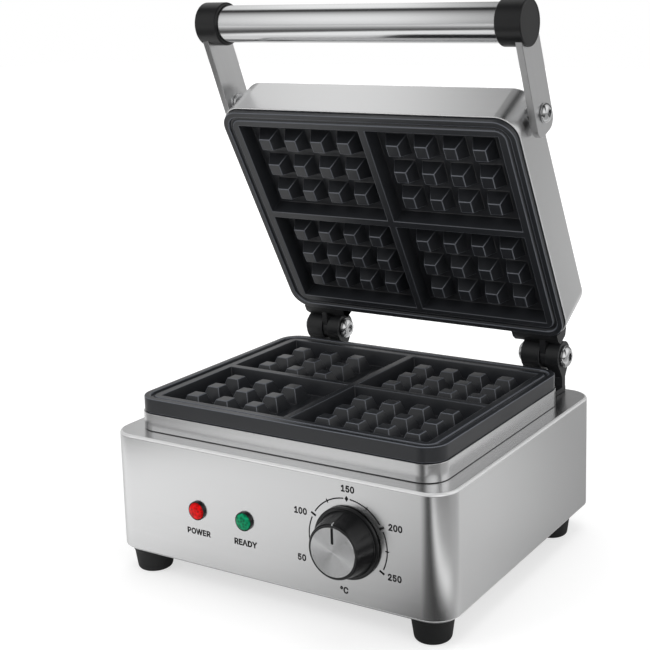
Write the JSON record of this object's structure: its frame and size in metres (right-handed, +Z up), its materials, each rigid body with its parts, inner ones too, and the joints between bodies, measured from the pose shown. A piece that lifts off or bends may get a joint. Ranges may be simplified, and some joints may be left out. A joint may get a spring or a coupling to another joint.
{
  "type": "commercial waffle maker",
  "caption": "Countertop waffle maker: folded steel base with a control panel, cast waffle plates, and a hinged lid with a swinging tube handle, shown open.",
  "frame": {"origin": "under the middle of the whole machine's box, on the surface it stands on", "axes": "+X to the right seen from the front, the control panel faces -Y, +Z up"},
  "size_m": [0.28, 0.2888, 0.4152],
  "materials": {
    "casing_steel": "satin",
    "inner_sheet": "mill",
    "handle_steel": "polished",
    "arm_steel": "satin",
    "fastener_chrome": "polished",
    "plate_casting": "non-stick coating over a casting",
    "hinge_black": "satin",
    "control_black": "satin",
    "cap_aluminium": "spun",
    "foot_rubber": "matt",
    "heater_sheath": "dull",
    "copper": "drawn",
    "insulator": "moulded",
    "lens_red": "clear red",
    "lens_green": "clear green"
  },
  "bodies": {
    "base": {"base_casing": "casing_steel", "bottom_cover": "inner_sheet", "plate_collar": "casing_steel", "foot_front_left": "foot_rubber", "foot_front_right": "foot_rubber", "foot_rear_left": "foot_rubber", "foot_rear_right": "foot_rubber", "foot_screw_front_left": "fastener_chrome", "foot_screw_front_right": "fastener_chrome", "foot_screw_rear_left": "fastener_chrome", "foot_screw_rear_right": "fastener_chrome", "lower_plate": "plate_casting", "lower_heating_element": "heater_sheath", "lower_heater_tray": "inner_sheet", "lower_plate_screw_left": "fastener_chrome", "lower_plate_screw_right": "fastener_chrome", "hinge_bracket_left": "hinge_black", "hinge_bracket_right": "hinge_black", "hinge_pin_left": "fastener_chrome", "hinge_pin_right": "fastener_chrome", "hinge_cap_nut_left": "fastener_chrome", "hinge_cap_nut_right": "fastener_chrome", "bracket_screw_left_a": "fastener_chrome", "bracket_screw_left_b": "fastener_chrome", "bracket_screw_right_a": "fastener_chrome", "bracket_screw_right_b": "fastener_chrome", "thermostat_body": "insulator", "thermostat_nut": "fastener_chrome", "thermostat_bulb": "copper", "lamp_bezel_red": "control_black", "lamp_lens_red": "lens_red", "lamp_body_red": "insulator", "lamp_bezel_green": "control_black", "lamp_lens_green": "lens_green", "lamp_body_green": "insulator", "terminal_block": "insulator", "cable_gland": "control_black", "cable_gland_nut": "control_black", "lead_grommet_base": "foot_rubber"},
    "control_knob": {"knob": "control_black", "knob_cap": "cap_aluminium", "thermostat_shaft": "inner_sheet"},
    "lid": {"lid_casing": "casing_steel", "upper_plate": "plate_casting", "upper_heating_element": "heater_sheath", "upper_heater_tray": "inner_sheet", "upper_plate_screw_left": "fastener_chrome", "upper_plate_screw_right": "fastener_chrome", "handle_pivot_screw_left": "fastener_chrome", "handle_pivot_screw_right": "fastener_chrome", "hinge_lug_left": "hinge_black", "hinge_lug_right": "hinge_black", "lead_grommet_lid": "foot_rubber"},
    "handle": {"handle_tube": "handle_steel", "handle_arm_left": "arm_steel", "handle_arm_right": "arm_steel", "handle_cap_left": "control_black", "handle_cap_right": "control_black"}
  },
  "joints": [
    {"name": "lid_hinge", "type": "hinge", "parent": "base", "child": "lid", "pos_m": [0, 0.11295, 0.1372], "axis": [-1, 0, 0], "range_deg": [-61, 34]},
    {"name": "handle_pivot", "type": "hinge", "parent": "lid", "child": "handle", "pos_m": [0, 0.03387, 0.33576], "axis": [-1, 0, 0], "range_deg": [-50, 145]},
    {"name": "knob_turn", "type": "hinge", "parent": "base", "child": "control_knob", "pos_m": [0.0657, -0.13, 0.0634], "axis": [0, -1, 0], "range_deg": [-120, 140]}
  ]
}
